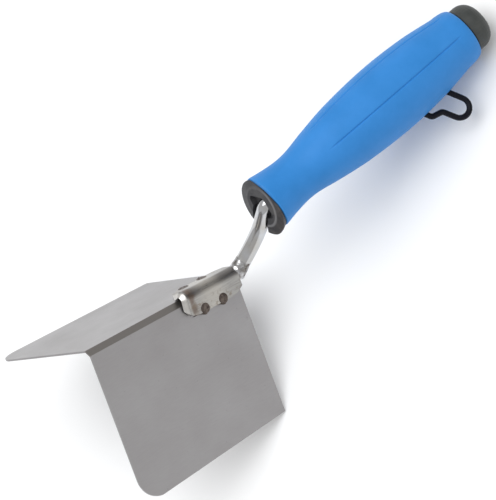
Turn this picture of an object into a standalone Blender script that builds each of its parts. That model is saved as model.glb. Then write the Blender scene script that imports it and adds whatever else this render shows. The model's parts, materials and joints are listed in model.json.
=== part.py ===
"""Corner trowel for plaster: a folded steel blade, a saddle spot-welded over its fold,
a bent round shank and a two-colour moulded handle with a wire hanging hook.

Tool axes: +X runs along the blade's fold from its front edge to the handle side, +Z is the
convex side of the fold and Y = 0 is the middle plane. The tool frame is then tipped back, so
that the tool stands on the two rear corners of its blade and on the butt of its handle.
"""
import math

import bmesh
import bpy
from mathutils import Vector

# ---- driving dimensions, in metres and degrees ----
CLEARANCE = 0.0003

BLADE_LENGTH = 0.080
WING_WIDTH_FRONT = 0.068
WING_WIDTH_REAR = 0.0624
WING_INCLUDED_ANGLE = 88.0
SHEET_THICKNESS = 0.0008
FOLD_FLAT_HALF_WIDTH = 0.00168
WING_CORNER_RADIUS = 0.010

SADDLE_START = 0.0495
SADDLE_END = 0.0800
SADDLE_THICKNESS = 0.0023
SADDLE_FLANGE = 0.0083
SADDLE_CROWN_RADIUS = 0.0017
SADDLE_CROWN_LIFT = 0.0004
SADDLE_MOUTH_LIFT = 0.0008
SADDLE_MOUTH_LENGTH = 0.0060
SADDLE_NOSE_BEVEL = 0.0019
SADDLE_NOSE_LENGTH_LEFT = 0.0070
SADDLE_NOSE_LENGTH_RIGHT = 0.0105
SADDLE_NOSE_CUT_LEFT = 0.0036
SADDLE_NOSE_CUT_RIGHT = 0.0060
SADDLE_HEEL_LENGTH = 0.0070
SADDLE_HEEL_CUT = 0.0024

WELD_STATIONS = (0.0587, 0.0688)
WELD_FLANGE_DISTANCE = 0.0070
WELD_RADIUS = 0.0019
WELD_POCKET_DEPTH = 0.0008

SHANK_RADIUS = 0.00325
SHANK_BEND_RADIUS = 0.0065
SHANK_TAIL = 0.070
SHANK_FOOT_STATIONS = (
    (-0.0024, 0.0820),
    (0.0029, 0.0840),
    (0.0085, 0.0864),
    (0.0151, 0.0886),
    (0.0212, 0.0899),
    (0.0280, 0.0900),
)

HANDLE_ORIGIN = (0.0894, 0.0, 0.0345)
HANDLE_RISE = 23.44
COLLAR_RADIUS = 0.0133
COLLAR_NECK_RADIUS = 0.0118
COLLAR_FACE = -0.0020
COLLAR_FACE_SLANT = 15.0
COLLAR_FLAT_RADIUS = 0.0087
COLLAR_RIM_SLOPE = 12.0
GRIP_START = 0.0012
GRIP_END = 0.1110
GRIP_WALL = 0.0028
GRIP_STATIONS = (
    (0.0012, 0.0122),
    (0.0080, 0.0111),
    (0.0150, 0.0104),
    (0.0210, 0.0107),
    (0.0310, 0.0125),
    (0.0460, 0.0146),
    (0.0680, 0.0157),
    (0.0880, 0.0148),
    (0.1040, 0.0126),
)
CORE_END = 0.1040
CAP_END = 0.1207
CAP_RADIUS = 0.0102
CAP_EDGE_RADIUS = 0.0060

HOOK_LEAN = 25.0
HOOK_WIRE_RADIUS = 0.00125
HOOK_LEG_ANGLE = 62.7
HOOK_TURN_CENTRE = (0.08875, 0.0223)
HOOK_TURN_RADIUS = 0.00427
HOOK_ROOT = 0.0105
HOOK_STEP_CORNERS = ((0.0822, 0.0190), (0.0774, 0.0179))
HOOK_STEP_RADIUS = 0.0018

HALF_ANGLE = math.radians(WING_INCLUDED_ANGLE / 2.0)
ROUND_STEPS = 40

COLLECTION_NAME = "corner_trowel"
CUTTER_COLLECTION_NAME = "cutters"


# ---- scene and collections ----
for old in list(bpy.data.objects):
    bpy.data.objects.remove(old, do_unlink=True)

parts = bpy.data.collections.new(COLLECTION_NAME)
cutters = bpy.data.collections.new(CUTTER_COLLECTION_NAME)
bpy.context.scene.collection.children.link(parts)
bpy.context.scene.collection.children.link(cutters)

tool_frame = bpy.data.objects.new("tool_frame", None)
parts.objects.link(tool_frame)

handle_frame = bpy.data.objects.new("handle_frame", None)
parts.objects.link(handle_frame)
handle_frame.parent = tool_frame
handle_frame.location = HANDLE_ORIGIN
handle_frame.rotation_euler = (0.0, math.radians(90.0 - HANDLE_RISE), 0.0)


# ---- materials ----
def make_material(name, colour, roughness, metallic):
    material = bpy.data.materials.new(name)
    material.use_nodes = True
    shader = material.node_tree.nodes["Principled BSDF"]
    shader.inputs["Base Color"].default_value = (*colour, 1.0)
    shader.inputs["Roughness"].default_value = roughness
    shader.inputs["Metallic"].default_value = metallic
    return material


blade_steel = make_material("blade_steel", (0.56, 0.55, 0.54), 0.38, 1.0)
saddle_steel = make_material("saddle_steel", (0.50, 0.49, 0.47), 0.34, 1.0)
chromed_steel = make_material("chromed_steel", (0.66, 0.67, 0.69), 0.12, 1.0)
weld_metal = make_material("weld_metal", (0.62, 0.62, 0.62), 0.25, 1.0)
burnt_steel = make_material("burnt_steel", (0.13, 0.11, 0.10), 0.50, 1.0)
core_plastic = make_material("core_plastic", (0.068, 0.076, 0.072), 0.50, 0.0)
cap_plastic = make_material("cap_plastic", (0.068, 0.076, 0.072), 0.50, 0.0)
grip_rubber = make_material("grip_rubber", (0.035, 0.195, 0.640), 0.55, 0.0)
hook_wire = make_material("hook_wire", (0.020, 0.020, 0.022), 0.40, 0.0)


# ---- helpers ----
def add_object(name, mesh, material, parent, collection=parts):
    thing = bpy.data.objects.new(name, mesh)
    collection.objects.link(thing)
    thing.parent = parent
    if material is not None:
        mesh.materials.append(material)
    return thing


def shade_round(mesh, angle=35.0):
    mesh.shade_smooth()
    mesh.set_sharp_from_angle(angle=math.radians(angle))


def mesh_from_bmesh(name, built):
    mesh = bpy.data.meshes.new(name)
    built.to_mesh(mesh)
    built.free()
    return mesh


def turned(name, profile, material, parent, closed_loop, collection=parts):
    """Turn a profile of (radius, height) points about the local Z axis."""
    built = bmesh.new()
    points = [built.verts.new((radius, 0.0, height)) for radius, height in profile]
    for first, second in zip(points, points[1:]):
        built.edges.new((first, second))
    if closed_loop:
        built.edges.new((points[-1], points[0]))
    thing = add_object(name, mesh_from_bmesh(name, built), material, parent, collection)
    screw = thing.modifiers.new("turn", "SCREW")
    screw.axis = "Z"
    screw.steps = ROUND_STEPS
    screw.render_steps = ROUND_STEPS
    screw.use_merge_vertices = True
    screw.merge_threshold = 0.00001
    screw.use_smooth_shade = True
    return thing


def prism(name, outline, low, high, collection=cutters, parent=None, material=None):
    """Straight prism on an (x, y) outline, from z = low to z = high."""
    built = bmesh.new()
    corners = [built.verts.new((x, y, low)) for x, y in outline]
    base = built.faces.new(corners)
    raised = bmesh.ops.extrude_face_region(built, geom=[base])
    moved = [item for item in raised["geom"] if isinstance(item, bmesh.types.BMVert)]
    bmesh.ops.translate(built, verts=moved, vec=(0.0, 0.0, high - low))
    bmesh.ops.recalc_face_normals(built, faces=built.faces)
    return add_object(name, mesh_from_bmesh(name, built), material, parent, collection)


def mark_as_cutter(thing):
    thing.hide_render = True
    thing.display_type = "WIRE"
    return thing


def cut_with(target, cutter):
    cut = target.modifiers.new("cut_" + cutter.name, "BOOLEAN")
    cut.operation = "DIFFERENCE"
    cut.object = cutter


def arc(centre, radius, start, end, steps):
    """Points on an arc, angles in degrees."""
    points = []
    for step in range(steps + 1):
        angle = math.radians(start + (end - start) * step / steps)
        points.append((centre[0] + radius * math.cos(angle), centre[1] + radius * math.sin(angle)))
    return points


def smooth_through(stations, at):
    """Cubic curve through the stations, each slope taken from its two neighbours."""
    last = len(stations) - 1
    index = max(i for i in range(last) if stations[i][0] <= at or i == 0)
    slopes = []
    for i in (index, index + 1):
        low = stations[max(i - 1, 0)]
        high = stations[min(i + 1, last)]
        slopes.append((high[1] - low[1]) / (high[0] - low[0]))
    (x0, y0), (x1, y1) = stations[index], stations[index + 1]
    span = x1 - x0
    t = (at - x0) / span
    return (
        (2 * t**3 - 3 * t**2 + 1) * y0
        + (t**3 - 2 * t**2 + t) * span * slopes[0]
        + (3 * t**2 - 2 * t**3) * y1
        + (t**3 - t**2) * span * slopes[1]
    )


def tube(name, path, radius, material, parent, resolution=4, collection=parts):
    """Round bar along a path of points, as a closed mesh with flat ends."""
    curve = bpy.data.curves.new(name + "_path", "CURVE")
    curve.dimensions = "3D"
    curve.bevel_depth = radius
    curve.bevel_resolution = resolution
    curve.use_fill_caps = True
    spline = curve.splines.new("POLY")
    spline.points.add(len(path) - 1)
    for point, place in zip(spline.points, path):
        point.co = (*place, 1.0)
    guide = bpy.data.objects.new(name + "_path", curve)
    collection.objects.link(guide)
    bpy.context.view_layer.update()
    depsgraph = bpy.context.evaluated_depsgraph_get()
    mesh = bpy.data.meshes.new_from_object(guide.evaluated_get(depsgraph))
    bpy.data.objects.remove(guide, do_unlink=True)
    mesh.name = name
    built = bmesh.new()
    built.from_mesh(mesh)
    bmesh.ops.remove_doubles(built, verts=built.verts, dist=0.000001)
    bmesh.ops.recalc_face_normals(built, faces=built.faces)
    built.to_mesh(mesh)
    built.free()
    mesh.materials.clear()
    shade_round(mesh)
    return add_object(name, mesh, material, parent, collection)


def rounded_path(corners, radii, steps=6):
    """Straight runs through the corners, each inner corner rounded to its radius."""
    path = [Vector(corners[0])]
    for index in range(1, len(corners) - 1):
        before = Vector(corners[index - 1])
        corner = Vector(corners[index])
        after = Vector(corners[index + 1])
        inward = (before - corner).normalized()
        outward = (after - corner).normalized()
        radius = radii[index - 1]
        half = inward.angle(outward) / 2.0
        centre = corner + (inward + outward).normalized() * radius / math.sin(half)
        start = corner + inward * radius / math.tan(half) - centre
        end = corner + outward * radius / math.tan(half) - centre
        for step in range(steps + 1):
            path.append(centre + start.slerp(end, step / steps).normalized() * radius)
    path.append(Vector(corners[-1]))
    return path


# ---- blade: one sheet folded along the middle, two tapered wings ----
def wing_point(along, distance, side=1.0, proud=0.0):
    """Point on a wing's outer face, at a distance down the wing from the sharp fold line."""
    across = distance * math.sin(HALF_ANGLE) + proud * math.cos(HALF_ANGLE)
    height = -distance * math.cos(HALF_ANGLE) + proud * math.sin(HALF_ANGLE)
    return (along, side * across, height)


def make_blade():
    fold_start = FOLD_FLAT_HALF_WIDTH / math.sin(HALF_ANGLE)
    slope = (WING_WIDTH_REAR - WING_WIDTH_FRONT) / BLADE_LENGTH
    turn = 90.0 + math.degrees(math.atan(slope))
    lean = math.radians(turn / 2.0)
    corner_centre = (
        WING_CORNER_RADIUS,
        WING_WIDTH_FRONT - WING_CORNER_RADIUS * (math.tan(math.radians(45.0) - lean) + 1.0),
    )
    corner = arc(corner_centre, WING_CORNER_RADIUS, 180.0, 180.0 - turn, 10)
    outline = [(0.0, fold_start)] + corner
    outline += [(BLADE_LENGTH, WING_WIDTH_REAR), (BLADE_LENGTH, fold_start)]

    built = bmesh.new()
    wing = [built.verts.new(wing_point(along, distance)) for along, distance in outline]
    built.faces.new(reversed(wing))
    fold_height = wing[0].co.z
    front = built.verts.new((0.0, 0.0, fold_height))
    rear = built.verts.new((BLADE_LENGTH, 0.0, fold_height))
    built.faces.new((front, rear, wing[-1], wing[0]))
    for face in built.faces:
        face.normal_update()
        if face.normal.z < 0.0:
            face.normal_flip()

    blade = add_object("blade", mesh_from_bmesh("blade", built), blade_steel, tool_frame)
    mirror = blade.modifiers.new("other_wing", "MIRROR")
    mirror.use_axis = (False, True, False)
    mirror.use_clip = True
    mirror.merge_threshold = 0.00001
    shell = blade.modifiers.new("sheet", "SOLIDIFY")
    shell.thickness = SHEET_THICKNESS
    shell.offset = -1.0
    shell.use_even_offset = True
    return blade


# ---- saddle: bent plate over the fold, with a flange on each wing ----
def flange_width(along, side):
    """Distance from the sharp fold line to the flange's lower edge."""
    nose_length = SADDLE_NOSE_LENGTH_LEFT if side < 0.0 else SADDLE_NOSE_LENGTH_RIGHT
    nose_cut = SADDLE_NOSE_CUT_LEFT if side < 0.0 else SADDLE_NOSE_CUT_RIGHT
    nose = SADDLE_START + nose_length
    heel = SADDLE_END - SADDLE_HEEL_LENGTH
    width = SADDLE_FLANGE
    if along < nose:
        share = (nose - along) / nose_length
        width -= nose_cut * (1.0 - math.sqrt(max(0.0, 1.0 - share**2)))
    if along > heel:
        share = (along - heel) / SADDLE_HEEL_LENGTH
        width -= SADDLE_HEEL_CUT * share**2
    return width


def saddle_lift(along, share):
    """Height of the saddle's inner face over the wing, from the crown (0) to the edge (1)."""
    forward = (SADDLE_END - along) / (SADDLE_END - SADDLE_START)
    mouth = max(0.0, 1.0 - (along - SADDLE_START) / SADDLE_MOUTH_LENGTH)
    raised = SADDLE_CROWN_LIFT * forward * (1.0 - share)
    return CLEARANCE + raised + SADDLE_MOUTH_LIFT * mouth**2 * (1.0 - 0.5 * share)


def half_section(along, side, thickness):
    """From the crown down to one flange's edge, at a thickness above the inner face."""
    lift = saddle_lift(along, 0.0)
    radius = SADDLE_CROWN_RADIUS + thickness
    centre = (lift - SADDLE_CROWN_RADIUS) / math.sin(HALF_ANGLE)
    turn = math.pi / 2.0 - HALF_ANGLE
    points = []
    for step in range(6):
        angle = turn * step / 5.0
        points.append((along, side * radius * math.sin(angle), centre + radius * math.cos(angle)))
    edge = flange_width(along, side)
    start = -centre * math.cos(HALF_ANGLE)
    for share in (0.5, 1.0):
        distance = start + (edge - start) * share
        rise = saddle_lift(along, share) + thickness
        points.append(wing_point(along, distance, side, rise))
    return points


def full_section(along, thickness):
    left = half_section(along, -1.0, thickness)
    right = half_section(along, 1.0, thickness)
    return left[::-1] + right[1:]


def make_saddle():
    count = 18
    length = SADDLE_END - SADDLE_START
    inner_rows = []
    outer_rows = []
    built = bmesh.new()
    for i in range(count + 1):
        along = SADDLE_START + length * i / count
        ahead = along + SADDLE_NOSE_BEVEL * max(0.0, 1.0 - (along - SADDLE_START) / 0.008)
        inner_rows.append([built.verts.new(point) for point in full_section(along, 0.0)])
        outer = full_section(ahead, SADDLE_THICKNESS)
        outer_rows.append([built.verts.new(point) for point in outer])
    last = len(inner_rows[0]) - 1
    for i in range(count):
        for k in range(last):
            for rows in (inner_rows, outer_rows):
                built.faces.new((rows[i][k], rows[i + 1][k], rows[i + 1][k + 1], rows[i][k + 1]))
        for k in (0, last):
            inner, outer = inner_rows, outer_rows
            built.faces.new((inner[i][k], inner[i + 1][k], outer[i + 1][k], outer[i][k]))
    for i in (0, count):
        for k in range(last):
            inner, outer = inner_rows[i], outer_rows[i]
            built.faces.new((inner[k], inner[k + 1], outer[k + 1], outer[k]))
    bmesh.ops.recalc_face_normals(built, faces=built.faces)
    mesh = mesh_from_bmesh("saddle", built)
    shade_round(mesh)
    return add_object("saddle", mesh, saddle_steel, tool_frame)


# ---- spot welds: a nugget in a shallow round pocket of the flange ----
def disc(name, along, side, radius, low, high, material, collection):
    """Round disc square to a wing, from low to high above the wing's outer face."""
    built = bmesh.new()
    bmesh.ops.create_cone(
        built, cap_ends=True, segments=24, radius1=radius, radius2=radius, depth=high - low
    )
    mesh = mesh_from_bmesh(name, built)
    shade_round(mesh)
    thing = add_object(name, mesh, material, tool_frame, collection)
    thing.location = wing_point(along, WELD_FLANGE_DISTANCE, side, (low + high) / 2.0)
    thing.rotation_euler = (side * (HALF_ANGLE - math.pi / 2.0), 0.0, 0.0)
    return thing


def make_spot_welds(saddle):
    for side_name, side in (("left", -1.0), ("right", 1.0)):
        for end_name, along in zip(("front", "rear"), WELD_STATIONS):
            label = side_name + "_" + end_name
            top = saddle_lift(along, WELD_FLANGE_DISTANCE / SADDLE_FLANGE) + SADDLE_THICKNESS
            pocket = disc(
                "pocket_" + label, along, side, WELD_RADIUS + CLEARANCE,
                top - WELD_POCKET_DEPTH, top + 0.002, None, cutters,
            )
            mark_as_cutter(pocket)
            cut_with(saddle, pocket)
            disc(
                "spot_weld_" + label, along, side, WELD_RADIUS,
                top - WELD_POCKET_DEPTH + CLEARANCE, top + 0.0001, burnt_steel, parts,
            )


# ---- shank: round bar from behind the saddle up into the handle ----
def shank_path():
    rise = math.radians(HANDLE_RISE)
    along = Vector((math.cos(rise), 0.0, math.sin(rise)))
    origin = Vector(HANDLE_ORIGIN)
    low = SHANK_FOOT_STATIONS[0][0]
    high = SHANK_FOOT_STATIONS[-1][0]
    foot = []
    for step in range(15):
        height = low + (high - low) * step / 14.0
        foot.append(Vector((smooth_through(SHANK_FOOT_STATIONS, height), 0.0, height)))
    corner_x = foot[-1].x
    corner = origin + along * (corner_x - origin.x) / along.x
    tail = origin + along * SHANK_TAIL
    upper = rounded_path((foot[-1], corner, tail), (SHANK_BEND_RADIUS,), 8)
    return foot[:-1] + upper


def make_shank(saddle):
    shank = tube("shank", shank_path(), SHANK_RADIUS, chromed_steel, tool_frame, 5)
    cope = tube(
        "shank_cope", shank_path()[:8], SHANK_RADIUS + CLEARANCE, None, tool_frame, 5, cutters
    )
    mark_as_cutter(cope)
    cut_with(saddle, cope)
    return shank


# ---- weld bead that joins the foot of the shank to the saddle and the blade ----
def make_foot_weld():
    (low, low_x), (high, high_x) = SHANK_FOOT_STATIONS[:2]
    foot = Vector((low_x, 0.0, low))
    above = Vector((high_x, 0.0, high))
    upward = (above - foot).normalized()
    bore = SHANK_RADIUS + 0.00025
    profile = (
        (bore, 0.0052),
        (bore + 0.00030, 0.0050),
        (bore + 0.00055, 0.0036),
        (bore + 0.00085, 0.0018),
        (bore + 0.00095, 0.0000),
        (bore + 0.00075, -0.0014),
        (bore, -0.0018),
    )
    bead = turned("shank_weld", profile, weld_metal, tool_frame, True)
    bead.location = foot
    bead.rotation_euler = (0.0, math.atan2(upward.x, upward.z), 0.0)

    front = SADDLE_END + CLEARANCE
    crown = SADDLE_THICKNESS + CLEARANCE
    room = prism(
        "saddle_room",
        ((front - 0.010, -0.010), (front, -0.010), (front, 0.010), (front - 0.010, 0.010)),
        -0.010, crown, cutters, tool_frame,
    )
    mark_as_cutter(room)
    cut_with(bead, room)
    return bead


# ---- handle: dark core with a front collar, blue sleeve, butt cap ----
def grip_radius(height):
    return smooth_through(GRIP_STATIONS, height)


def core_radius(height):
    return grip_radius(height) - GRIP_WALL - CLEARANCE


def make_core():
    count = 12
    start = GRIP_START - CLEARANCE
    heights = [CORE_END - (CORE_END - start) * i / count for i in range(count + 1)]
    profile = [(0.0, CORE_END)]
    profile += [(core_radius(max(height, GRIP_START)), height) for height in heights]
    profile += [
        (COLLAR_NECK_RADIUS, start),
        (COLLAR_RADIUS - 0.0004, -0.0014),
        (COLLAR_RADIUS, -0.0032),
        (COLLAR_RADIUS - 0.0002, -0.0100),
        (0.0, -0.0100),
    ]
    core = turned("handle_core", profile, core_plastic, handle_frame, False)

    size = 0.040
    slope = math.tan(math.radians(COLLAR_RIM_SLOPE))
    front = (
        (0.0, 0.0),
        (COLLAR_FLAT_RADIUS, 0.0),
        (size, (size - COLLAR_FLAT_RADIUS) * slope),
        (size, -size),
        (0.0, -size),
    )
    face = turned("collar_face", front, None, handle_frame, False, cutters)
    face.location = (0.0, 0.0, COLLAR_FACE)
    face.rotation_euler = (0.0, math.radians(COLLAR_FACE_SLANT), 0.0)
    mark_as_cutter(face)
    cut_with(core, face)

    half_opening = [(0.0200, 0.0045), (0.0032, 0.0045), (0.0012, 0.0066)]
    half_opening += [(-0.0004, 0.0070), (-0.0014, 0.0062), (-0.0048, 0.0010)]
    opening = half_opening + [(x, -y) for x, y in reversed(half_opening)]
    keyhole = prism("keyhole", opening, -0.010, 0.0025, cutters, handle_frame)
    keyhole.location = (0.0, 0.0, COLLAR_FACE)
    keyhole.rotation_euler = (0.0, math.radians(COLLAR_FACE_SLANT), 0.0)
    mark_as_cutter(keyhole)
    cut_with(core, keyhole)

    notch = prism(
        "rim_notch",
        ((-0.0150, -0.0005), (-0.0120, -0.0005), (-0.0120, 0.0004), (-0.0150, 0.0004)),
        -0.0050, 0.0006, cutters, handle_frame,
    )
    mark_as_cutter(notch)
    cut_with(core, notch)

    channel = tube(
        "shank_channel", shank_path()[8:], SHANK_RADIUS + CLEARANCE, None, tool_frame, 4, cutters
    )
    mark_as_cutter(channel)
    cut_with(core, channel)
    return core


def make_sleeve():
    count = 20
    shoulder_start = GRIP_STATIONS[-1][0]
    heights = [shoulder_start - (shoulder_start - GRIP_START) * i / count for i in range(count)]
    rim = grip_radius(GRIP_START)
    outer = [
        (CAP_RADIUS + 0.0003, GRIP_END),
        (CAP_RADIUS + 0.0011, GRIP_END - 0.0006),
        (CAP_RADIUS + 0.0018, GRIP_END - 0.0020),
        (CAP_RADIUS + 0.0021, GRIP_END - 0.0040),
    ]
    outer += [(grip_radius(height), height) for height in heights]
    outer += [(rim, GRIP_START + 0.0005), (rim - 0.0004, GRIP_START)]
    inner_count = 12
    inner = []
    for i in range(inner_count + 1):
        height = GRIP_START + (CORE_END - GRIP_START) * i / inner_count
        inner.append((grip_radius(height) - GRIP_WALL, height))
    spigot = grip_radius(CORE_END) - GRIP_WALL - 0.0020
    inner += [(grip_radius(CORE_END) - GRIP_WALL, CORE_END + CLEARANCE)]
    inner += [(spigot + CLEARANCE, CORE_END + CLEARANCE), (spigot + CLEARANCE, GRIP_END)]
    return turned("grip_sleeve", outer + inner, grip_rubber, handle_frame, True)


def make_cap():
    spigot = grip_radius(CORE_END) - GRIP_WALL - 0.0020
    seat = GRIP_END + CLEARANCE
    edge = (CAP_RADIUS - CAP_EDGE_RADIUS, CAP_END - CAP_EDGE_RADIUS)
    rounding = arc(edge, CAP_EDGE_RADIUS, 90.0, 0.0, 7)
    profile = [(0.0, CAP_END)] + rounding
    profile += [(CAP_RADIUS, seat + 0.0004), (CAP_RADIUS - 0.0004, seat), (spigot, seat)]
    profile += [(spigot, CORE_END + 2.0 * CLEARANCE), (0.0, CORE_END + 2.0 * CLEARANCE)]
    return turned("end_cap", profile, cap_plastic, handle_frame, False)


# ---- hanging hook: one bent wire, both ends set in the side of the handle ----
def hook_point(height, outward):
    """Point in handle axes; outward is measured from the handle's own axis."""
    lean = math.radians(HOOK_LEAN)
    return Vector((outward * math.sin(lean), -outward * math.cos(lean), height))


def hook_legs():
    """Ends of the two legs, in the hook's own plane: the rear root, the front root."""
    angle = math.radians(HOOK_LEG_ANGLE)
    slope = math.cos(angle) / math.sin(angle)
    side = HOOK_TURN_RADIUS / math.sin(angle)
    rear = HOOK_TURN_CENTRE[0] + side + (HOOK_ROOT - HOOK_TURN_CENTRE[1]) * slope
    step = HOOK_STEP_CORNERS[1]
    front = step[0] + (HOOK_ROOT - step[1]) * slope
    return (rear, HOOK_ROOT), (front, HOOK_ROOT)


def hook_path():
    rear, front = hook_legs()
    turn = arc(HOOK_TURN_CENTRE, HOOK_TURN_RADIUS, HOOK_LEG_ANGLE - 90.0, HOOK_LEG_ANGLE + 90.0, 14)
    step = [turn[-1], *HOOK_STEP_CORNERS, front]
    corners = [Vector((height, outward, 0.0)) for height, outward in step]
    stepped = rounded_path(corners, (HOOK_STEP_RADIUS, HOOK_STEP_RADIUS), 5)
    plane = [rear] + turn + [(point.x, point.y) for point in stepped[1:]]
    return [hook_point(height, outward) for height, outward in plane]


def make_hook(core, sleeve):
    hook = tube("hanging_hook", hook_path(), HOOK_WIRE_RADIUS, hook_wire, handle_frame, 2)
    angle = math.radians(HOOK_LEG_ANGLE)
    for name, root in zip(("hook_hole_rear", "hook_hole_front"), hook_legs()):
        ends = []
        for reach in (-CLEARANCE, 0.0078):
            height = root[0] + reach * math.cos(angle)
            ends.append(hook_point(height, root[1] + reach * math.sin(angle)))
        hole = tube(name, ends, HOOK_WIRE_RADIUS + CLEARANCE, None, handle_frame, 3, cutters)
        mark_as_cutter(hole)
        cut_with(core, hole)
        cut_with(sleeve, hole)
    return hook


# ---- stance: on the two rear blade corners and the butt ----
def stance_pitch():
    """Tip that puts the rear blade corners and the rounded butt on one level."""
    corner = wing_point(BLADE_LENGTH, WING_WIDTH_REAR, 1.0, -SHEET_THICKNESS)
    rise = math.radians(HANDLE_RISE)
    along = Vector((math.cos(rise), 0.0, math.sin(rise)))
    upward = Vector((-math.sin(rise), 0.0, math.cos(rise)))
    butt = Vector(HANDLE_ORIGIN) + along * (CAP_END - CAP_EDGE_RADIUS)
    butt -= upward * (CAP_RADIUS - CAP_EDGE_RADIUS)
    across = butt.x - corner[0]
    height = butt.z - corner[2]
    return math.atan2(height, across) - math.asin(CAP_EDGE_RADIUS / math.hypot(across, height))


def set_on_floor():
    """Move the tool frame so that the origin is under the middle of the whole tool."""
    tool_frame.rotation_euler = (0.0, stance_pitch(), 0.0)
    bpy.context.view_layer.update()
    depsgraph = bpy.context.evaluated_depsgraph_get()
    low = Vector((math.inf,) * 3)
    high = Vector((-math.inf,) * 3)
    for thing in parts.objects:
        if thing.type != "MESH":
            continue
        shown = thing.evaluated_get(depsgraph)
        for vertex in shown.data.vertices:
            place = shown.matrix_world @ vertex.co
            low = Vector(map(min, low, place))
            high = Vector(map(max, high, place))
    tool_frame.location = (-(low.x + high.x) / 2.0, -(low.y + high.y) / 2.0, -low.z)
    bpy.context.view_layer.update()


make_blade()
saddle_plate = make_saddle()
make_spot_welds(saddle_plate)
make_shank(saddle_plate)
make_foot_weld()
handle_core = make_core()
grip_sleeve = make_sleeve()
make_cap()
make_hook(handle_core, grip_sleeve)
set_on_floor()
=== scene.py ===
"""Corner trowel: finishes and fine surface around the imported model, on a plain pale floor."""
import json
import math

import bmesh
import bpy
from mathutils import Matrix, Vector, noise


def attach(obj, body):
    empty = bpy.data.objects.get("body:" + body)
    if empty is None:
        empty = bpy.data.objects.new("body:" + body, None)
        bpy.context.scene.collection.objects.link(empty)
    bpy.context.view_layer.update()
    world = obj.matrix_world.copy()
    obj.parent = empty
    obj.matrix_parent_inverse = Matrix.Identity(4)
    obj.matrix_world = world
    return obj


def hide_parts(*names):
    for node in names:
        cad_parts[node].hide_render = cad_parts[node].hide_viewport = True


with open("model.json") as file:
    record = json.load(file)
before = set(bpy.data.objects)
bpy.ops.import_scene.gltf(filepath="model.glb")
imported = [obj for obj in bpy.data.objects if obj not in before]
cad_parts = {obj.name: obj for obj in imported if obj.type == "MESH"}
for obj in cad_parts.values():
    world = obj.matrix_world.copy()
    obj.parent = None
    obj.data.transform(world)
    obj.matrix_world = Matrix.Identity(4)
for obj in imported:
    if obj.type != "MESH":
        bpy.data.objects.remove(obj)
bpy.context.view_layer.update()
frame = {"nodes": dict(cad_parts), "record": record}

MM = 0.001

# ---- the tool's own axes: x along the fold, z on its convex side, tipped back to stand ----
TOOL_PITCH = math.radians(44.25963)
TOOL_PLACE = Vector((-0.085936, 0.0, 0.088378))
TOOL = Matrix.Translation(TOOL_PLACE) @ Matrix.Rotation(TOOL_PITCH, 4, "Y")
HANDLE_RISE = math.radians(23.44)
HANDLE_PLACE = Vector((0.0894, 0.0, 0.0345))
HANDLE_TURN = Matrix.Rotation(math.pi / 2 - HANDLE_RISE, 4, "Y")
HANDLE = TOOL @ Matrix.Translation(HANDLE_PLACE) @ HANDLE_TURN
HALF_ANGLE = math.radians(44.0)


def tool(x, y, z):
    return TOOL @ Vector((x * MM, y * MM, z * MM))


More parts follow.
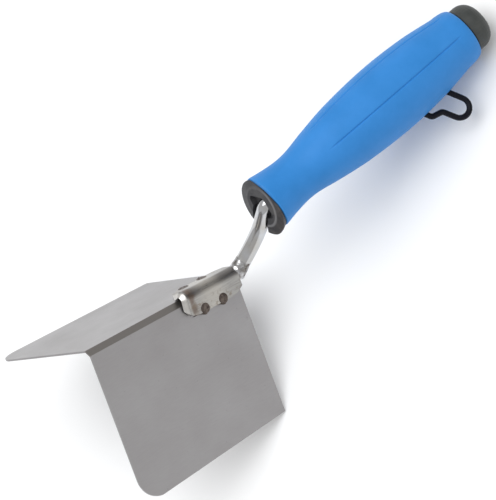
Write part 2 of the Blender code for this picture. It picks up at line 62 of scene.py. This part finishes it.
# ---- node helpers ----
class Graph:
    """A small wrapper that adds and links shader nodes."""

    def __init__(self, name):
        self.material = bpy.data.materials.new(name)
        self.material.use_nodes = True
        self.tree = self.material.node_tree
        self.shader = self.tree.nodes["Principled BSDF"]

    def node(self, kind, **settings):
        made = self.tree.nodes.new(kind)
        for key, value in settings.items():
            setattr(made, key, value)
        return made

    def put(self, socket, value):
        if isinstance(value, bpy.types.NodeSocket):
            self.tree.links.new(value, socket)
        else:
            socket.default_value = value

    def axes(self, matrix, stretch=(1.0, 1.0, 1.0)):
        """Position in the axes of a matrix, in metres, then stretched."""
        coords = self.node("ShaderNodeTexCoord").outputs["Object"]
        back = self.node("ShaderNodeMapping", vector_type="TEXTURE")
        self.put(back.inputs["Vector"], coords)
        back.inputs["Location"].default_value = matrix.to_translation()
        back.inputs["Rotation"].default_value = matrix.to_euler()
        if stretch == (1.0, 1.0, 1.0):
            return back.outputs["Vector"]
        scaled = self.node("ShaderNodeMapping")
        self.put(scaled.inputs["Vector"], back.outputs["Vector"])
        scaled.inputs["Scale"].default_value = stretch
        return scaled.outputs["Vector"]

    def noise(self, vector, scale, detail, roughness):
        made = self.node("ShaderNodeTexNoise")
        self.put(made.inputs["Vector"], vector)
        made.inputs["Scale"].default_value = scale
        made.inputs["Detail"].default_value = detail
        made.inputs["Roughness"].default_value = roughness
        return made.outputs["Fac"]

    def math(self, operation, first, second=0.0):
        made = self.node("ShaderNodeMath", operation=operation)
        self.put(made.inputs[0], first)
        self.put(made.inputs[1], second)
        return made.outputs[0]

    def span(self, value, low, high, to_low, to_high, smooth=False):
        made = self.node("ShaderNodeMapRange")
        if smooth:
            made.interpolation_type = "SMOOTHSTEP"
        self.put(made.inputs["Value"], value)
        made.inputs["From Min"].default_value = low
        made.inputs["From Max"].default_value = high
        made.inputs["To Min"].default_value = to_low
        made.inputs["To Max"].default_value = to_high
        return made.outputs["Result"]

    def band(self, value, start, full, fade, end):
        """1 between full and fade, falling smoothly to 0 at start and end."""
        rise = self.span(value, start, full, 0.0, 1.0, True)
        return self.math("MULTIPLY", rise, self.span(value, fade, end, 1.0, 0.0, True))

    def mix(self, share, first, second):
        made = self.node("ShaderNodeMix", data_type="RGBA")
        self.put(made.inputs[0], share)
        self.put(made.inputs[6], first)
        self.put(made.inputs[7], second)
        return made.outputs[2]

    def split(self, vector):
        made = self.node("ShaderNodeSeparateXYZ")
        self.put(made.inputs[0], vector)
        return made.outputs

    def bump(self, height, strength, distance):
        made = self.node("ShaderNodeBump")
        made.inputs["Strength"].default_value = strength
        made.inputs["Distance"].default_value = distance
        self.put(made.inputs["Height"], height)
        return made.outputs["Normal"]

    def finish(self, colour, roughness, metallic, normal=None):
        self.put(self.shader.inputs["Base Color"], colour)
        self.put(self.shader.inputs["Roughness"], roughness)
        self.put(self.shader.inputs["Metallic"], metallic)
        if normal is not None:
            self.put(self.shader.inputs["Normal"], normal)
        return self.material


def rgb(red, green, blue):
    return (red, green, blue, 1.0)


# ---- materials; places are in metres, across from the middle plane or along the fold ----
# width of the fold's flat land, where a painted dark reflection goes
LAND_REFLECTION_EDGE = (0.00160, 0.00172)
# across the crown, where painted shade goes
SHADED_CROWN_EDGE = (0.0018, 0.0032)
FLANK_EDGE = (0.0034, 0.0044)
# along the fold, where a painted highlight goes on the saddle's front edge
FRONT_HIGHLIGHT_SPAN = (0.0506, 0.0516)
FRONT_BURN = (0.0515, 0.0530, 0.0545, 0.0575)
PALE_PATCH = (0.055, 0.063, 0.066, 0.074)

# around the handle's axis, on the collar's face
# radii of a painted highlight arc on the collar's face
COLLAR_HIGHLIGHT_ARC = (0.0079, 0.0085, 0.0089, 0.0096)
COLLAR_TOP = (0.0, 0.002)
# fade of that painted highlight across the collar
HIGHLIGHT_FADE = (-0.002, 0.004)
WORN_SIDE = (-0.012, -0.004)


def blade_material():
    """Satin sheet with fine grain along the fold, a painted dark reflection on the fold's flat land
    and a few dark specks.
    """
    g = Graph("blade_steel_look")
    place = g.axes(TOOL)
    _, across, _ = g.split(place)
    grain = g.noise(g.axes(TOOL, (220.0, 2200.0, 2200.0)), 1.0, 5.0, 0.6)
    cloud = g.noise(place, 38.0, 3.0, 0.5)
    steel, dull_steel = rgb(0.375, 0.365, 0.368), rgb(0.352, 0.342, 0.344)
    base = g.mix(g.span(cloud, 0.30, 0.70, 0.0, 1.0), steel, dull_steel)
    base = g.mix(g.span(cloud, 0.35, 0.65, 0.0, 0.13), base, rgb(0.27, 0.245, 0.24))
    base = g.mix(g.span(grain, 0.3, 0.7, 0.0, 0.07), base, rgb(0.17, 0.155, 0.155))
    # painted dark reflection: the fold's flat land is darkened
    land_reflection = g.span(g.math("ABSOLUTE", across), *LAND_REFLECTION_EDGE, 1.0, 0.0)
    base = g.mix(land_reflection, base, rgb(0.215, 0.20, 0.188))
    speck = g.noise(place, 620.0, 2.0, 0.5)
    base = g.mix(g.span(speck, 0.69, 0.78, 0.0, 0.16), base, rgb(0.10, 0.085, 0.08))
    grain_rough = g.span(grain, 0.3, 0.7, 0.37, 0.43)
    rough = g.math("ADD", grain_rough, g.span(cloud, 0.3, 0.7, -0.02, 0.04))
    return g.finish(base, rough, 0.92, g.bump(grain, 0.05, 0.00004))


def saddle_material():
    """Ground plate: painted shade along the crown, pale patch between the welds, stains and a
    painted highlight on the front edge.
    """
    g = Graph("saddle_steel_look")
    place = g.axes(TOOL)
    along, across, _ = g.split(place)
    grind = g.noise(g.axes(TOOL, (120.0, 1900.0, 1900.0)), 1.0, 4.0, 0.6)
    cloud = g.noise(place, 160.0, 3.0, 0.5)
    base = g.mix(g.span(grind, 0.3, 0.7, 0.0, 0.7), rgb(0.44, 0.43, 0.41), rgb(0.24, 0.23, 0.22))
    side = g.math("ABSOLUTE", across)
    # painted shade: the saddle's crown is darkened
    crown_shade = g.span(side, *SHADED_CROWN_EDGE, 1.0, 0.0, True)
    base = g.mix(g.math("MULTIPLY", crown_shade, 0.72), base, rgb(0.115, 0.105, 0.10))
    patch = g.band(along, *PALE_PATCH)
    base = g.mix(g.math("MULTIPLY", patch, 0.35), base, rgb(0.66, 0.62, 0.55))
    burn = g.band(along, *FRONT_BURN)
    burn = g.math("MULTIPLY", burn, g.span(cloud, 0.42, 0.60, 0.0, 0.7))
    base = g.mix(burn, base, rgb(0.12, 0.075, 0.05))
    fleck = g.noise(place, 520.0, 3.0, 0.6)
    flank = g.span(side, *FLANK_EDGE, 0.0, 1.0)
    stain = g.math("MULTIPLY", g.span(fleck, 0.52, 0.64, 0.0, 0.55), flank)
    base = g.mix(stain, base, rgb(0.20, 0.155, 0.11))
    # painted highlight: the saddle's front edge is lightened
    front_highlight = g.span(along, *FRONT_HIGHLIGHT_SPAN, 0.75, 0.0, True)
    base = g.mix(front_highlight, base, rgb(0.72, 0.70, 0.67))
    rough = g.span(grind, 0.3, 0.7, 0.26, 0.44)
    return g.finish(base, rough, 0.95, g.bump(grind, 0.25, 0.00008))


def chrome_material():
    """Bright plating with slight cloudiness and faint streaks."""
    g = Graph("chromed_steel_look")
    place = g.axes(TOOL)
    streak = g.noise(g.axes(TOOL, (1500.0, 1500.0, 160.0)), 1.0, 3.0, 0.5)
    cloud = g.noise(place, 120.0, 2.0, 0.5)
    base = g.mix(g.span(cloud, 0.35, 0.65, 0.0, 1.0), rgb(0.57, 0.58, 0.60), rgb(0.50, 0.485, 0.46))
    rough = g.span(streak, 0.3, 0.7, 0.10, 0.20)
    return g.finish(base, rough, 1.0, g.bump(streak, 0.04, 0.00006))


def weld_material():
    """Bright lumps with dark hollows between them."""
    g = Graph("weld_metal_look")
    place = g.axes(TOOL)
    lump = g.noise(place, 420.0, 3.0, 0.55)
    base = g.mix(g.span(lump, 0.35, 0.65, 0.0, 1.0), rgb(0.60, 0.60, 0.61), rgb(0.12, 0.105, 0.09))
    return g.finish(base, g.span(lump, 0.3, 0.7, 0.14, 0.34), 1.0, g.bump(lump, 0.5, 0.0004))


def burnt_material():
    """Brown to sooty heat-stained metal."""
    g = Graph("burnt_steel_look")
    place = g.axes(TOOL)
    lump = g.noise(place, 650.0, 4.0, 0.6)
    brown, soot = rgb(0.155, 0.125, 0.105), rgb(0.055, 0.040, 0.035)
    base = g.mix(g.span(lump, 0.35, 0.65, 0.0, 1.0), brown, soot)
    return g.finish(base, g.span(lump, 0.3, 0.7, 0.38, 0.6), 0.6, g.bump(lump, 0.6, 0.0003))


def dark_plastic_material(name, tone, scuff):
    """Matte moulded plastic; the collar also has a painted highlight arc and brown wear on one
    side.
    """
    g = Graph(name)
    place = g.axes(HANDLE)
    fine = g.noise(place, 2600.0, 3.0, 0.6)
    cloud = g.noise(place, 170.0, 4.0, 0.6)
    base = g.mix(g.span(cloud, 0.40, 0.72, 0.0, 1.0), rgb(*tone), rgb(*scuff))
    rough = g.math("ADD", g.span(fine, 0.3, 0.7, 0.40, 0.56), g.span(cloud, 0.3, 0.7, 0.0, 0.08))
    depth, across, height = g.split(place)
    squares = g.math("ADD", g.math("MULTIPLY", depth, depth), g.math("MULTIPLY", across, across))
    reach = g.math("SQRT", squares)
    # painted highlight: a pale arc on the collar's face, fading towards one side
    collar_highlight = g.band(reach, *COLLAR_HIGHLIGHT_ARC)
    collar_highlight = g.math("MULTIPLY", collar_highlight, g.span(height, *COLLAR_TOP, 0.5, 0.0))
    collar_highlight = g.math("MULTIPLY", collar_highlight, g.span(across, *HIGHLIGHT_FADE, 1.0, 0.2))
    base = g.mix(collar_highlight, base, rgb(0.26, 0.26, 0.27))
    on_collar = g.span(height, *COLLAR_TOP, 1.0, 0.0)
    worn = g.math("MULTIPLY", g.span(across, *WORN_SIDE, 0.5, 0.0), on_collar)
    worn = g.math("MULTIPLY", worn, g.span(cloud, 0.4, 0.65, 0.2, 1.0))
    base = g.mix(worn, base, rgb(0.115, 0.095, 0.08))
    g.shader.inputs["Specular IOR Level"].default_value = 0.38
    return g.finish(base, rough, 0.0, g.bump(fine, 0.25, 0.00012))


def grip_material():
    """Blue soft-touch rubber with light mottling."""
    g = Graph("grip_rubber_look")
    place = g.axes(HANDLE)
    fine = g.noise(place, 3200.0, 3.0, 0.6)
    cloud = g.noise(place, 60.0, 4.0, 0.6)
    blue, pale_blue = rgb(0.020, 0.200, 0.545), rgb(0.030, 0.228, 0.61)
    base = g.mix(g.span(cloud, 0.35, 0.68, 0.0, 1.0), blue, pale_blue)
    base = g.mix(g.span(fine, 0.5, 0.8, 0.0, 0.25), base, rgb(0.05, 0.21, 0.56))
    made = g.finish(base, g.span(fine, 0.3, 0.7, 0.46, 0.60), 0.0, g.bump(fine, 0.30, 0.00012))
    g.shader.inputs["Sheen Weight"].default_value = 0.06
    g.shader.inputs["Sheen Roughness"].default_value = 0.5
    g.shader.inputs["Specular IOR Level"].default_value = 0.30
    g.shader.inputs["Sheen Tint"].default_value = rgb(0.45, 0.65, 1.0)
    return made


def wire_material():
    """Black coated wire."""
    g = Graph("hook_wire_look")
    place = g.axes(HANDLE)
    fine = g.noise(place, 1500.0, 3.0, 0.6)
    black, worn_black = rgb(0.004, 0.004, 0.007), rgb(0.010, 0.010, 0.015)
    base = g.mix(g.span(fine, 0.4, 0.7, 0.0, 1.0), black, worn_black)
    g.shader.inputs["Specular IOR Level"].default_value = 0.10
    return g.finish(base, g.span(fine, 0.3, 0.7, 0.34, 0.50), 0.0, g.bump(fine, 0.2, 0.0001))


def floor_material():
    g = Graph("floor_look")
    coords = g.node("ShaderNodeTexCoord").outputs["Object"]
    soft = g.noise(coords, 3.0, 2.0, 0.5)
    base = g.mix(g.span(soft, 0.3, 0.7, 0.0, 1.0), rgb(0.93, 0.93, 0.93), rgb(0.91, 0.91, 0.912))
    return g.finish(base, 0.8, 0.0)


CORE_TONE, CORE_SCUFF = (0.030, 0.030, 0.034), (0.070, 0.069, 0.071)
CAP_TONE, CAP_SCUFF = (0.034, 0.038, 0.036), (0.055, 0.058, 0.055)
looks = {
    "blade_steel": blade_material(),
    "saddle_steel": saddle_material(),
    "chromed_steel": chrome_material(),
    "weld_metal": weld_material(),
    "burnt_steel": burnt_material(),
    "core_plastic": dark_plastic_material("core_plastic_look", CORE_TONE, CORE_SCUFF),
    "cap_plastic": dark_plastic_material("cap_plastic_look", CAP_TONE, CAP_SCUFF),
    "grip_rubber": grip_material(),
    "hook_wire": wire_material(),
}
for entry in frame["record"]["subparts"]:
    node = frame["nodes"][entry["node"]]
    for material_slot in node.material_slots:
        material_slot.material = looks[entry["material_slot"]]
    if not node.material_slots:
        node.data.materials.append(looks[entry["material_slot"]])


# ---- pieces made here ----
def finish_piece(name, built, slot_name, *replaced, smooth=40.0):
    """Object from the built faces, riding on the root; edges sharper than smooth stay sharp."""
    bmesh.ops.recalc_face_normals(built, faces=built.faces)
    mesh = bpy.data.meshes.new(name)
    built.to_mesh(mesh)
    built.free()
    mesh.shade_smooth()
    mesh.set_sharp_from_angle(angle=math.radians(smooth))
    piece = bpy.data.objects.new(name, mesh)
    bpy.context.scene.collection.objects.link(piece)
    mesh.materials.append(looks[slot_name])
    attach(piece, "root")
    if replaced:
        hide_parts(*replaced)


def close_rings(built, rings, joined):
    """Faces between neighbouring rings; the last ring joins the first, or both are capped."""
    pairs = zip(rings, rings[1:] + rings[:1]) if joined else zip(rings, rings[1:])
    count = len(rings[0])
    for first, second in pairs:
        for k in range(count):
            j = (k + 1) % count
            built.faces.new((first[k], first[j], second[j], second[k]))
    if not joined:
        built.faces.new(rings[0])
        built.faces.new(rings[-1])


# ---- sleeve, in handle axes: (height along the handle, radius) in mm ----
GRIP_STATIONS = (
    (1.2, 12.2), (8.0, 11.1), (15.0, 10.4), (21.0, 10.7), (31.0, 12.5),
    (46.0, 14.6), (68.0, 15.7), (88.0, 14.8), (104.0, 12.6),
)
GRIP_WALL = 2.8
GRIP_FRONT = 1.2
FRONT_ROUNDED_TO = 1.7
FRONT_ROUNDING = 0.45
SHOULDER_START = 104.0
SHOULDER_LENGTH = 7.0
SHOULDER_MOUTH = 10.55
INNER_MOUTH = ((111.0, 10.35), (109.5, 10.0), (104.3, 9.8))
INNER_HEIGHTS = (104.0, 88.0, 68.0, 46.0, 31.0, 15.0, 1.2)
GROOVE_ANGLE = 30.0
GROOVE_START, GROOVE_END = 31.0, 107.0
GROOVE_RUN_IN, GROOVE_RUN_OUT = 6.0, 5.0
GROOVE_DEPTH, GROOVE_HALF = 0.45, 0.34
COARSE_ANGLE, COARSE_COUNT = 3.75, 96
FINE_ANGLE, FINE_EACH_SIDE, FINE_HALF_WIDTH = 0.55, 7, 4.3
EVEN_START, EVEN_LENGTH, EVEN_COUNT = 2.4, 101.6, 102
SHOULDER_COUNT = 14


def smooth_through(stations, at):
    """Cubic curve through the stations, each slope taken from its two neighbours."""
    last = len(stations) - 1
    index = max(i for i in range(last) if stations[i][0] <= at or i == 0)
    slopes = []
    for i in (index, index + 1):
        low, high = stations[max(i - 1, 0)], stations[min(i + 1, last)]
        slopes.append((high[1] - low[1]) / (high[0] - low[0]))
    (x0, y0), (x1, y1) = stations[index], stations[index + 1]
    span = x1 - x0
    t = (at - x0) / span
    return (
        (2 * t**3 - 3 * t**2 + 1) * y0 + (t**3 - 2 * t**2 + t) * span * slopes[0]
        + (3 * t**2 - 2 * t**3) * y1 + (t**3 - t**2) * span * slopes[1]
    )


def ramp(value, low, high):
    """Smooth step from 0 at low to 1 at high."""
    t = min(1.0, max(0.0, (value - low) / (high - low)))
    return t * t * (3.0 - 2.0 * t)


def groove_depth(radius, degrees_from_top, height):
    """Depth of the two long grooves at a place on the sleeve, in mm."""
    start = ramp(height, GROOVE_START, GROOVE_START + GROOVE_RUN_IN)
    ends = start * ramp(-height, -GROOVE_END, -GROOVE_END + GROOVE_RUN_OUT)
    away = abs(abs(degrees_from_top) - GROOVE_ANGLE)
    across = math.radians(away) * radius
    return GROOVE_DEPTH * ends * math.exp(-((across / GROOVE_HALF) ** 2))


def sleeve_angles():
    """Angles from the top line, close together at the grooves."""
    angles = [i * COARSE_ANGLE for i in range(COARSE_COUNT)]
    fine = [step * FINE_ANGLE for step in range(-FINE_EACH_SIDE, FINE_EACH_SIDE + 1)]
    kept = []
    for centre in (GROOVE_ANGLE, 360.0 - GROOVE_ANGLE):
        angles = [a for a in angles if abs(a - centre) > FINE_HALF_WIDTH]
        kept += [centre + offset for offset in fine]
    return sorted(angles + kept)


def make_grip():
    heights = [GRIP_FRONT, 1.35, FRONT_ROUNDED_TO]
    heights += [EVEN_START + EVEN_LENGTH * i / EVEN_COUNT for i in range(EVEN_COUNT + 1)]
    outer = []
    for height in heights:
        radius = smooth_through(GRIP_STATIONS, height)
        if height < FRONT_ROUNDED_TO:
            share = (FRONT_ROUNDED_TO - height) / (FRONT_ROUNDED_TO - GRIP_FRONT)
            radius -= FRONT_ROUNDING * (1.0 - math.sqrt(max(0.0, 1.0 - share**2)))
        outer.append((height, radius))
    join = outer[-1][1]
    # the shoulder turns in towards the cap on an elliptical arc
    for i in range(1, SHOULDER_COUNT + 1):
        angle = math.pi / 2 * i / SHOULDER_COUNT
        drop = (join - SHOULDER_MOUTH) * (1.0 - math.cos(angle) ** 0.80)
        height = SHOULDER_START + SHOULDER_LENGTH * math.sin(angle) ** 1.05
        outer.append((height, join - drop))
    inner = list(INNER_MOUTH)
    for height in INNER_HEIGHTS:
        inner.append((height, smooth_through(GRIP_STATIONS, height) - GRIP_WALL))
    profile = outer + inner
    angles = sleeve_angles()
    built = bmesh.new()
    rings = []
    for index, (height, radius) in enumerate(profile):
        ring = []
        for degrees in angles:
            from_top = (degrees + 180.0) % 360.0 - 180.0
            r = radius
            if index < len(outer):
                r -= groove_depth(radius, from_top, height)
            turn = math.radians(degrees)
            spot = Vector((-r * math.cos(turn) * MM, r * math.sin(turn) * MM, height * MM))
            ring.append(built.verts.new(HANDLE @ spot))
        rings.append(ring)
    close_rings(built, rings, True)
    finish_piece("grip_skin", built, "grip_rubber", "grip_sleeve", smooth=50.0)


make_grip()


# ---- shank and its weld, in tool axes: (height over the fold, place along the fold) in mm ----
SHANK_RADIUS = 3.25
SHANK_OVAL = 0.02
SHANK_STATIONS = ((-2.4, 82.0), (2.9, 84.0), (8.5, 86.4), (15.1, 88.6), (21.2, 89.9), (28.0, 90.0))
SHANK_BEND = 6.5
SHANK_TAIL = (40.0, 70.0)
BEAD_OVERRUN = 2.0
BEAD_CLEARANCE = 0.02
BEAD_LENGTH = 7.6
BEAD_FILLET = 0.66
BEAD_LIP, BEAD_LIP_FROM, BEAD_LIP_TO = 0.22, 3.6, 4.6
BEAD_ROUGHNESS = 0.08


def shank_path():
    """Centre line of the shank in tool axes, in mm, evenly and closely spaced."""
    low, high = SHANK_STATIONS[0][0], SHANK_STATIONS[-1][0]
    path = []
    for i in range(60):
        z = low + (high - low) * i / 60
        path.append(Vector((smooth_through(SHANK_STATIONS, z), 0.0, z)))
    along = Vector((math.cos(HANDLE_RISE), 0.0, math.sin(HANDLE_RISE)))
    origin = HANDLE_PLACE / MM
    foot = Vector((SHANK_STATIONS[-1][1], 0.0, high))
    corner = origin + along * ((foot.x - origin.x) / along.x)
    inward = (foot - corner).normalized()
    half = inward.angle(along) / 2
    centre = corner + (inward + along).normalized() * SHANK_BEND / math.sin(half)
    start = corner + inward * SHANK_BEND / math.tan(half) - centre
    end = corner + along * SHANK_BEND / math.tan(half) - centre
    path.append(foot)
    for i in range(25):
        path.append(centre + start.slerp(end, i / 24).normalized() * SHANK_BEND)
    path += [origin + along * reach for reach in SHANK_TAIL]
    return path


def sweep(name, path, radius_at, slot_name, replaced, sides=48, smooth=60.0):
    """Round bar along a path in tool axes; radius_at(distance, angle) is in mm."""
    built = bmesh.new()
    rings = []
    travelled = 0.0
    for index, place in enumerate(path):
        before = path[max(index - 1, 0)]
        after = path[min(index + 1, len(path) - 1)]
        if index:
            travelled += (place - before).length
        ahead = (after - before).normalized()
        side = Vector((0.0, 1.0, 0.0))
        rise = side.cross(ahead).normalized()
        ring = []
        for k in range(sides):
            angle = 2 * math.pi * k / sides
            r = radius_at(travelled, angle)
            spot = place + rise * r * math.cos(angle) + side * r * math.sin(angle)
            ring.append(built.verts.new(TOOL @ (spot * MM)))
        rings.append(ring)
    close_rings(built, rings, False)
    finish_piece(name, built, slot_name, *replaced, smooth=smooth)


def lump(value, seed):
    """Smooth repeatable unevenness, about -1 to 1."""
    return noise.noise(Vector((value[0], value[1], seed)))


def make_shank():
    def radius(travelled, angle):
        return SHANK_RADIUS - SHANK_OVAL * math.cos(2 * angle)

    sweep("shank_bar", shank_path(), radius, "chromed_steel", ("shank",))

    # the weld: an uneven fillet, fuller at the front where it meets the saddle
    low, high = SHANK_STATIONS[0][0], SHANK_STATIONS[1][0] + BEAD_OVERRUN
    path = []
    for i in range(31):
        z = low + (high - low) * i / 30
        path.append(Vector((smooth_through(SHANK_STATIONS, z), 0.0, z)))

    def bead(travelled, angle):
        share = min(1.0, travelled / BEAD_LENGTH)
        front = 0.5 - 0.5 * math.cos(angle)
        fillet = BEAD_FILLET * (1.0 - share) ** 0.8
        lip = BEAD_LIP * ramp(-travelled, -BEAD_LIP_TO, -BEAD_LIP_FROM)
        rough = BEAD_ROUGHNESS * lump((travelled * 0.8, angle * 1.6), 3.1)
        rough *= ramp(-travelled, -7.0, -3.0)
        fullness = (0.30 + 0.70 * front) * ramp(share, 0.0, 0.04)
        proud = fillet * fullness + lip * front + rough
        return SHANK_RADIUS + BEAD_CLEARANCE + proud

    sweep("shank_weld_bead", path, bead, "weld_metal", ("shank_weld",), sides=64, smooth=40.0)


make_shank()


def wing_spot(along, down, side, proud):
    """Point in row axes over a wing: mm along, down the wing, and proud of its face."""
    across = down * math.sin(HALF_ANGLE) + proud * math.cos(HALF_ANGLE)
    height = -down * math.cos(HALF_ANGLE) + proud * math.sin(HALF_ANGLE)
    return tool(along, side * across, height)


# ---- burnt metal at the spot welds: (name, place along the fold, side), in mm ----
WELDS = (
    ("left_front", 58.7, -1), ("left_rear", 68.8, -1),
    ("right_front", 58.7, 1), ("right_rear", 68.8, 1),
)
WELD_DOWN = 7.0
TAIL_DOWN = 8.52
TAIL_FOOT = 0.12
TAIL_BEHIND, TAIL_LENGTH = 2.3, 8.0
TAIL_AHEAD = TAIL_LENGTH - TAIL_BEHIND
TAIL_BLOB = 1.35
TAIL_STEPS, TAIL_SIDES = 32, 14
RING_RADIUS, RING_HEIGHT = 2.02, 2.62
RING_THICKNESS = 0.26
RING_STEPS, RING_SIDES = 40, 10


def make_tails():
    """Burnt metal squeezed out under each spot weld, in a tail forward along the flange's edge."""
    for name, along, side in WELDS:
        built = bmesh.new()
        rings = []
        for i in range(TAIL_STEPS + 1):
            x = along + TAIL_BEHIND - TAIL_LENGTH * i / TAIL_STEPS
            near = math.exp(-(((x - along) / TAIL_BLOB) ** 2))
            behind = ramp(-x, -along - TAIL_BEHIND, -along - TAIL_BEHIND + 1.0)
            ends = behind * ramp(x, along - TAIL_AHEAD, along - 2.5)
            r = 0.05 + 0.50 * near + 0.30 * ends + 0.10 * lump((x * 0.9, along), 5.2) * ends
            down = TAIL_DOWN + 0.34 * near + 0.10 * lump((x * 0.7, along), 1.7)
            ring = []
            for k in range(TAIL_SIDES):
                angle = 2 * math.pi * k / TAIL_SIDES
                proud = TAIL_FOOT + (0.75 + 0.95 * near) * r * (1.0 + math.sin(angle))
                spot = wing_spot(x, down + r * math.cos(angle), side, proud)
                ring.append(built.verts.new(spot))
            rings.append(ring)
        close_rings(built, rings, False)
        finish_piece("tail_" + name, built, "burnt_steel")


def make_weld_rings():
    """Raised, uneven lip of burnt metal around each spot weld."""
    for name, along, side in WELDS:
        built = bmesh.new()
        rings = []
        for i in range(RING_STEPS):
            turn = 2 * math.pi * i / RING_STEPS
            unevenness = lump((3.0 + 1.6 * math.cos(turn), 1.6 * math.sin(turn)), along)
            r = RING_THICKNESS + 0.06 * unevenness
            ring = []
            for k in range(RING_SIDES):
                angle = 2 * math.pi * k / RING_SIDES
                out = RING_RADIUS + r * math.cos(angle)
                x = along + out * math.cos(turn)
                down = WELD_DOWN + out * math.sin(turn)
                proud = RING_HEIGHT + 0.8 * r * math.sin(angle)
                ring.append(built.verts.new(wing_spot(x, down, side, proud)))
            rings.append(ring)
        close_rings(built, rings, True)
        finish_piece("ring_" + name, built, "burnt_steel")


make_tails()
make_weld_rings()


# ---- floor, light and camera ----
FLOOR_HALF_SIZE = 6.0
FLOOR_DROP = 0.0002
SKY_STRENGTH = 0.62
KEY_PLACE, KEY_AIM, KEY_SIZE, KEY_POWER = (0.35, -1.1, 0.9), (0.0, 0.0, 0.03), (0.9, 0.9), 1.6
TOP_PLACE, TOP_AIM, TOP_SIZE, TOP_POWER = (-0.2, 0.3, 1.4), (0.0, 0.0, 0.0), (1.4, 1.4), 17.0
WARM_WHITE, COOL_WHITE = (1.0, 0.985, 0.96), (0.97, 0.985, 1.0)
CAMERA_PLACE = (0.14856, -0.88902, 1.86789)
CAMERA_RIGHT = (0.638707, -0.667931, -0.381997)
CAMERA_UP = (0.765134, 0.603837, 0.223497)
CAMERA_BACK = (0.081383, -0.435028, 0.896731)
CAMERA_LENS, CAMERA_SENSOR = 360.0, 36.0


def make_floor():
    built = bmesh.new()
    bmesh.ops.create_grid(built, x_segments=1, y_segments=1, size=FLOOR_HALF_SIZE)
    mesh = bpy.data.meshes.new("floor")
    built.to_mesh(mesh)
    built.free()
    mesh.materials.append(floor_material())
    floor = bpy.data.objects.new("floor", mesh)
    floor.location = (0.0, 0.0, -FLOOR_DROP)
    bpy.context.scene.collection.objects.link(floor)


def area_light(name, place, target, size, power, colour):
    data = bpy.data.lights.new(name, "AREA")
    data.shape = "RECTANGLE"
    data.size, data.size_y = size
    data.energy = power
    data.color = colour
    light = bpy.data.objects.new(name, data)
    light.location = place
    light.rotation_euler = (Vector(target) - Vector(place)).to_track_quat("-Z", "Y").to_euler()
    bpy.context.scene.collection.objects.link(light)


def make_world():
    world = bpy.data.worlds.new("studio")
    bpy.context.scene.world = world
    world.use_nodes = True
    background = world.node_tree.nodes["Background"]
    background.inputs["Color"].default_value = (1.0, 1.0, 1.0, 1.0)
    background.inputs["Strength"].default_value = SKY_STRENGTH


def make_camera():
    data = bpy.data.cameras.new("camera")
    data.lens = CAMERA_LENS
    data.sensor_width = CAMERA_SENSOR
    data.clip_start = 0.1
    data.clip_end = 20.0
    camera = bpy.data.objects.new("camera", data)
    turn = Matrix((CAMERA_RIGHT, CAMERA_UP, CAMERA_BACK)).transposed()
    camera.matrix_world = Matrix.Translation(CAMERA_PLACE) @ turn.to_4x4()
    bpy.context.scene.collection.objects.link(camera)
    bpy.context.scene.camera = camera


bpy.context.scene.view_settings.view_transform = "Standard"
make_floor()
make_world()
area_light("key", KEY_PLACE, KEY_AIM, KEY_SIZE, KEY_POWER, WARM_WHITE)
area_light("top", TOP_PLACE, TOP_AIM, TOP_SIZE, TOP_POWER, COOL_WHITE)
make_camera()
